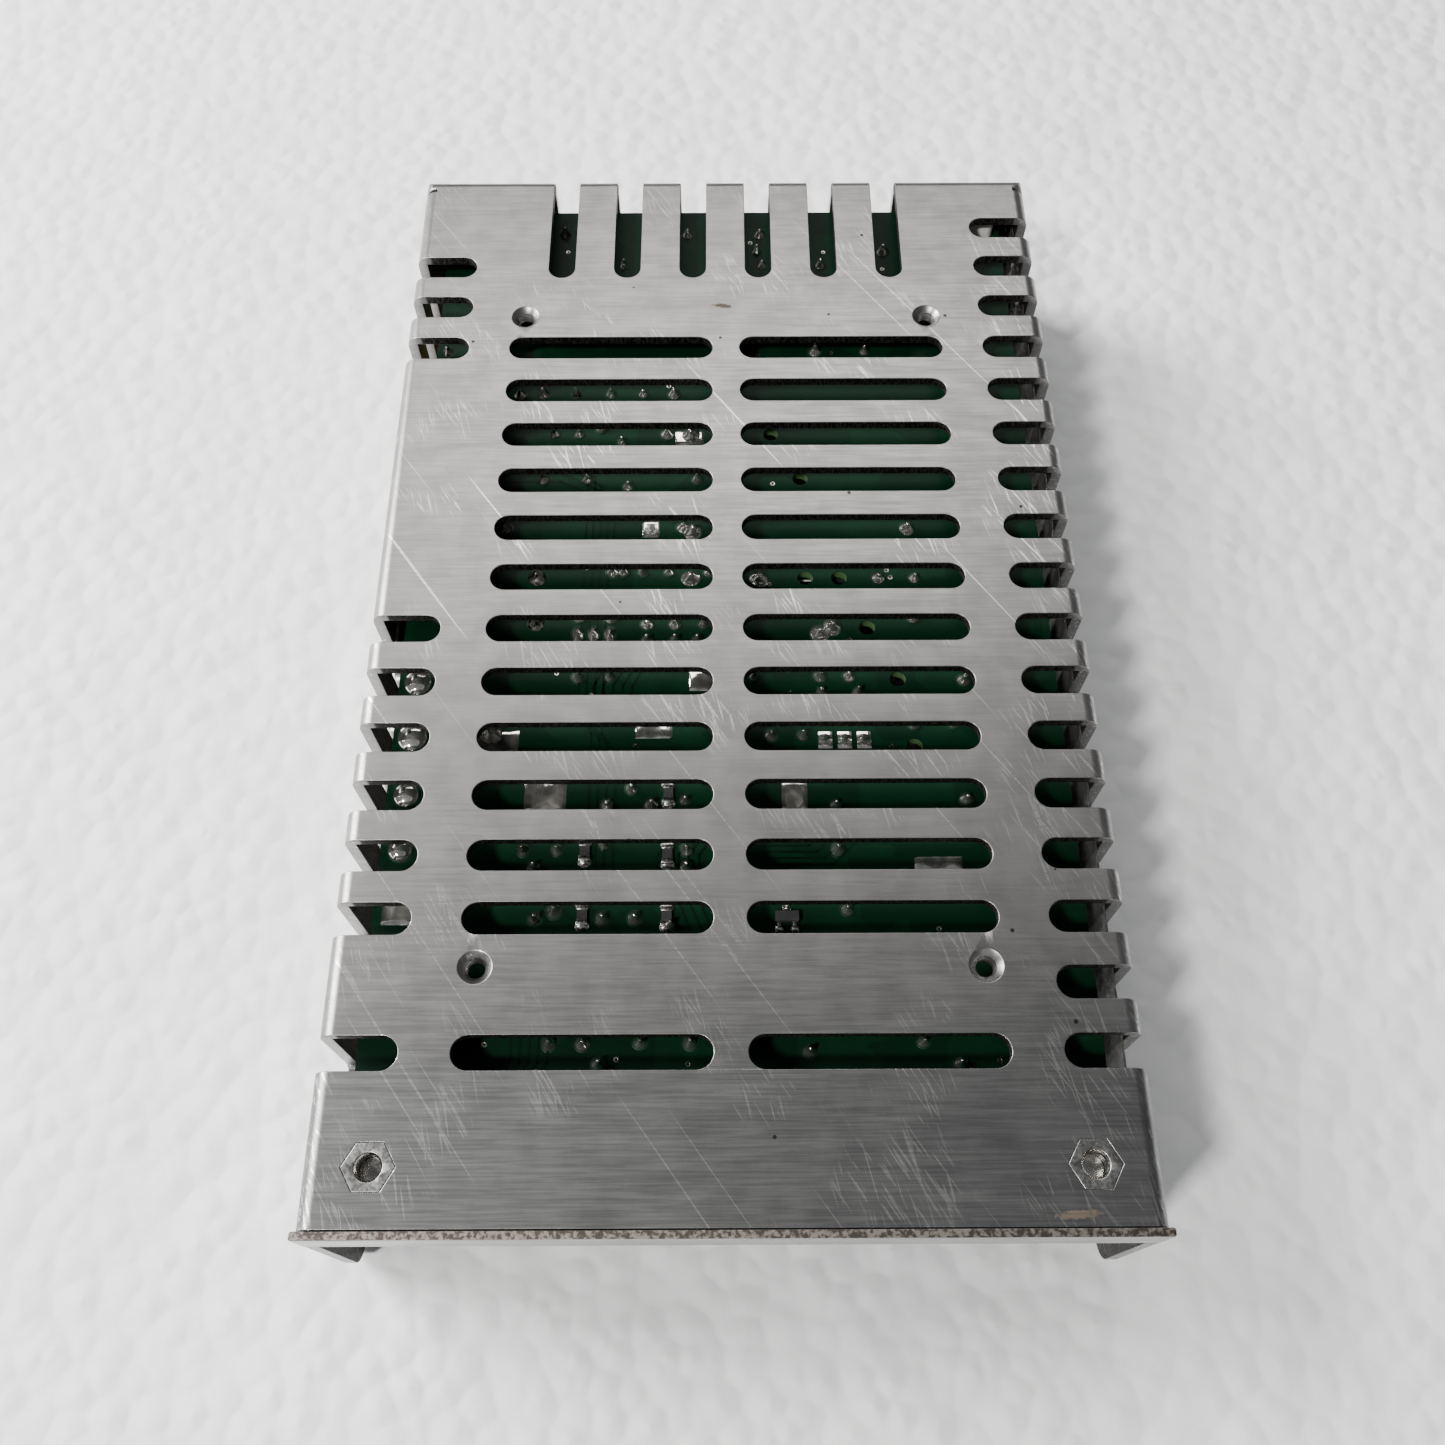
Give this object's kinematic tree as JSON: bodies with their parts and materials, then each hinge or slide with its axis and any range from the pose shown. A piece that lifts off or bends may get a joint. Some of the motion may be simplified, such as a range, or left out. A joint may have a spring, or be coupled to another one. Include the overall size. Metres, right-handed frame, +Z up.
{
  "type": "servo driver unit",
  "caption": "Servo driver unit: slotted bent-sheet chassis lying base plate up, with its through-hole board, screw terminals and controls hung inside it.",
  "frame": {"origin": "middle of the footprint, on the surface that the free edges of the walls stand on", "axes": "+Z up through the base plate, +Y away from the open terminal end, +X to the right seen from that end"},
  "size_m": [0.0956, 0.159, 0.028],
  "materials": {
    "sheet": "brushed, worn",
    "lip": "sheared edge, satin",
    "plated_steel": "zinc plated",
    "board": "solder resist",
    "tinned": "tinned",
    "chip_black": "moulded epoxy",
    "chip_ends": "glazed chip",
    "film": "clear film",
    "terminal_plastic": "moulded",
    "white_plastic": "nylon",
    "sleeve": "shrink sleeve",
    "ferrite": "sintered ferrite",
    "winding": "polyester tape",
    "powder_core": "coated core",
    "pad_grey": "silicone pad",
    "fin_black": "anodised",
    "fuse_glass": "clear",
    "film_box": "moulded box",
    "lamp_green": "tinted lens",
    "trimmer_blue": "moulded",
    "switch_red": "moulded"
  },
  "bodies": {
    "unit": {"chassis": "sheet", "front_lip": "lip", "hex_standoffs": "plated_steel", "standoff_screws": "plated_steel", "board_supports": "white_plastic", "pcb": "board", "chip_resistors": "chip_ends", "chip_transistors": "chip_black", "insulating_film": "film", "terminal_block": "terminal_plastic", "terminal_plates": "tinned", "header_body": "terminal_plastic", "header_pins": "tinned", "bulk_capacitor_1": "sleeve", "bulk_capacitor_2": "sleeve", "output_capacitors": "sleeve", "transformer_core": "ferrite", "transformer_winding": "winding", "transformer_pins": "terminal_plastic", "filter_choke_core": "powder_core", "output_choke_core": "powder_core", "insulating_pads": "pad_grey", "power_transistors": "chip_black", "clamp_bar": "plated_steel", "clamp_screws": "plated_steel", "heatsink": "fin_black", "rectifier": "chip_black", "fuse_tube": "fuse_glass", "fuse_caps": "tinned", "fuse_clips": "tinned", "film_capacitor": "film_box", "control_chip": "chip_black", "gate_drivers": "chip_black", "status_lamp": "lamp_green", "trimmer_body": "trimmer_blue", "switch_body": "switch_red", "button_body": "terminal_plastic"},
    "clamp_1": {"terminal_clamp_1": "plated_steel"},
    "screw_1": {"terminal_screw_1": "plated_steel"},
    "clamp_2": {"terminal_clamp_2": "plated_steel"},
    "screw_2": {"terminal_screw_2": "plated_steel"},
    "clamp_3": {"terminal_clamp_3": "plated_steel"},
    "screw_3": {"terminal_screw_3": "plated_steel"},
    "clamp_4": {"terminal_clamp_4": "plated_steel"},
    "screw_4": {"terminal_screw_4": "plated_steel"},
    "clamp_5": {"terminal_clamp_5": "plated_steel"},
    "screw_5": {"terminal_screw_5": "plated_steel"},
    "slider_1": {"switch_slider_1": "white_plastic"},
    "slider_2": {"switch_slider_2": "white_plastic"},
    "slider_3": {"switch_slider_3": "white_plastic"},
    "slider_4": {"switch_slider_4": "white_plastic"},
    "rotor": {"trimmer_rotor": "white_plastic"},
    "button": {"button_cap": "terminal_plastic"}
  },
  "joints": [
    {"name": "clamp_1_lift", "type": "slide", "parent": "unit", "child": "clamp_1", "axis": [0, 0, -1], "range_m": [0, 0.0024]},
    {"name": "screw_1_turn", "type": "hinge", "parent": "clamp_1", "child": "screw_1", "pos_m": [-0.028, -0.06805, 0.0103], "axis": [0, 0, -1], "range_deg": [0, 1441]},
    {"name": "clamp_2_lift", "type": "slide", "parent": "unit", "child": "clamp_2", "axis": [0, 0, -1], "range_m": [0, 0.0024]},
    {"name": "screw_2_turn", "type": "hinge", "parent": "clamp_2", "child": "screw_2", "pos_m": [-0.0185, -0.06805, 0.0103], "axis": [0, 0, -1], "range_deg": [0, 1441]},
    {"name": "clamp_3_lift", "type": "slide", "parent": "unit", "child": "clamp_3", "axis": [0, 0, -1], "range_m": [0, 0.0024]},
    {"name": "screw_3_turn", "type": "hinge", "parent": "clamp_3", "child": "screw_3", "pos_m": [-0.009, -0.06805, 0.0103], "axis": [0, 0, -1], "range_deg": [0, 1441]},
    {"name": "clamp_4_lift", "type": "slide", "parent": "unit", "child": "clamp_4", "axis": [0, 0, -1], "range_m": [0, 0.0024]},
    {"name": "screw_4_turn", "type": "hinge", "parent": "clamp_4", "child": "screw_4", "pos_m": [0.0005, -0.06805, 0.0103], "axis": [0, 0, -1], "range_deg": [0, 1441]},
    {"name": "clamp_5_lift", "type": "slide", "parent": "unit", "child": "clamp_5", "axis": [0, 0, -1], "range_m": [0, 0.0024]},
    {"name": "screw_5_turn", "type": "hinge", "parent": "clamp_5", "child": "screw_5", "pos_m": [0.01, -0.06805, 0.0103], "axis": [0, 0, -1], "range_deg": [0, 1441]},
    {"name": "trimmer_turn", "type": "hinge", "parent": "unit", "child": "rotor", "pos_m": [0.0215, -0.07145, 0.0145], "axis": [0, 0, -1], "range_deg": [-130, 130]},
    {"name": "slider_1_slide", "type": "slide", "parent": "unit", "child": "slider_1", "axis": [0, 1, 0], "range_m": [0, 0.002]},
    {"name": "slider_2_slide", "type": "slide", "parent": "unit", "child": "slider_2", "axis": [0, 1, 0], "range_m": [0, 0.002]},
    {"name": "slider_3_slide", "type": "slide", "parent": "unit", "child": "slider_3", "axis": [0, 1, 0], "range_m": [0, 0.002]},
    {"name": "slider_4_slide", "type": "slide", "parent": "unit", "child": "slider_4", "axis": [0, 1, 0], "range_m": [0, 0.002]},
    {"name": "button_press", "type": "slide", "parent": "unit", "child": "button", "axis": [0, 0, 1], "range_m": [0, 0.00025], "stiffness_N_per_m": 6000}
  ],
  "couplings": [
    {"joint": "screw_1_turn", "follows": "clamp_1_lift", "rad_per_m": 10472},
    {"joint": "screw_2_turn", "follows": "clamp_2_lift", "rad_per_m": 10472},
    {"joint": "screw_3_turn", "follows": "clamp_3_lift", "rad_per_m": 10472},
    {"joint": "screw_4_turn", "follows": "clamp_4_lift", "rad_per_m": 10472},
    {"joint": "screw_5_turn", "follows": "clamp_5_lift", "rad_per_m": 10472}
  ]
}
